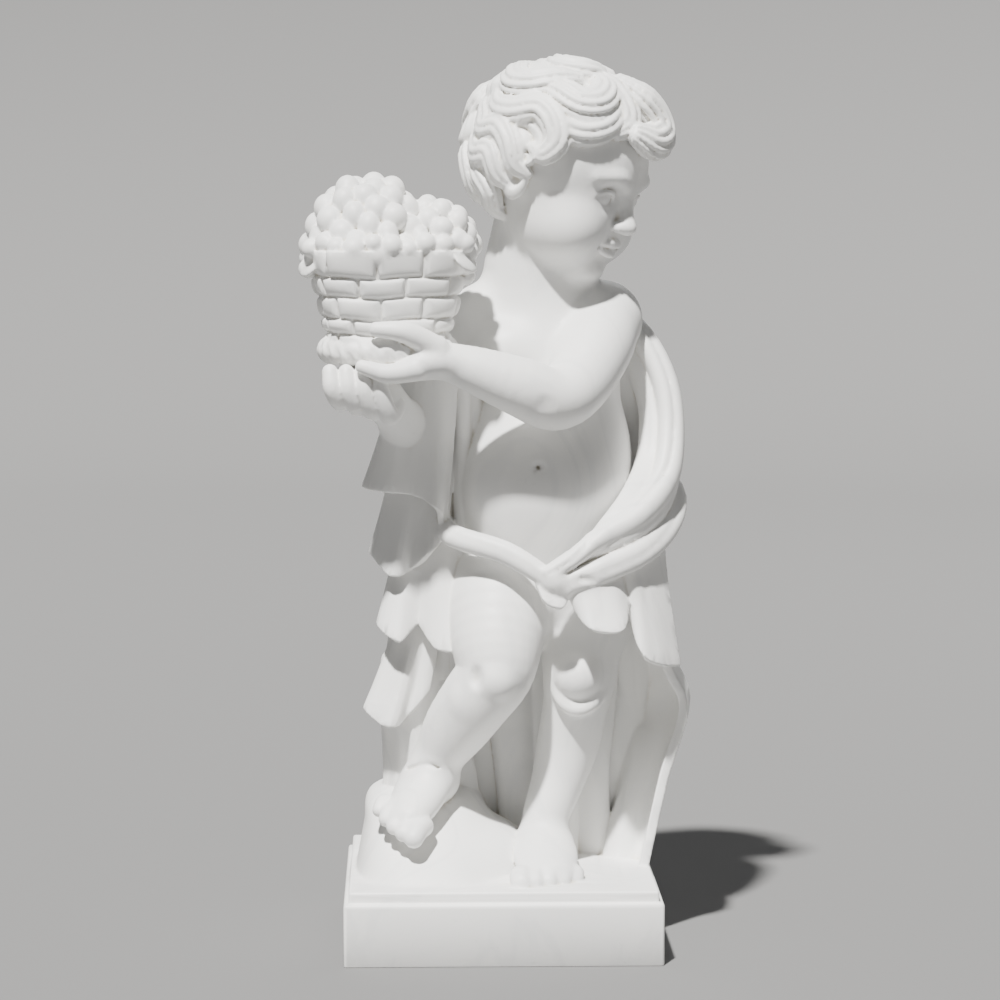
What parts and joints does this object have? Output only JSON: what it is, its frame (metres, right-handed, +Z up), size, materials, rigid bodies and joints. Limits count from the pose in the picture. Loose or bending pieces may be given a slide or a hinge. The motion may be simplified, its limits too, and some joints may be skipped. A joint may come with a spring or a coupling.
{
  "type": "stone cherub statue",
  "caption": "Carved marble garden statue of a draped cherub that holds a basket of grapes at its shoulder, on a square stepped plinth.",
  "frame": {"origin": "centre of the plinth's flat underside", "axes": "+Z up, the front of the figure and plinth faces -Y, +X to the figure's left"},
  "size_m": [0.3496, 0.2814, 0.7943],
  "materials": {
    "marble": "honed off-white marble with faint grey clouds and small pits"
  },
  "bodies": {
    "root": {"statue": "marble"}
  },
  "joints": []
}
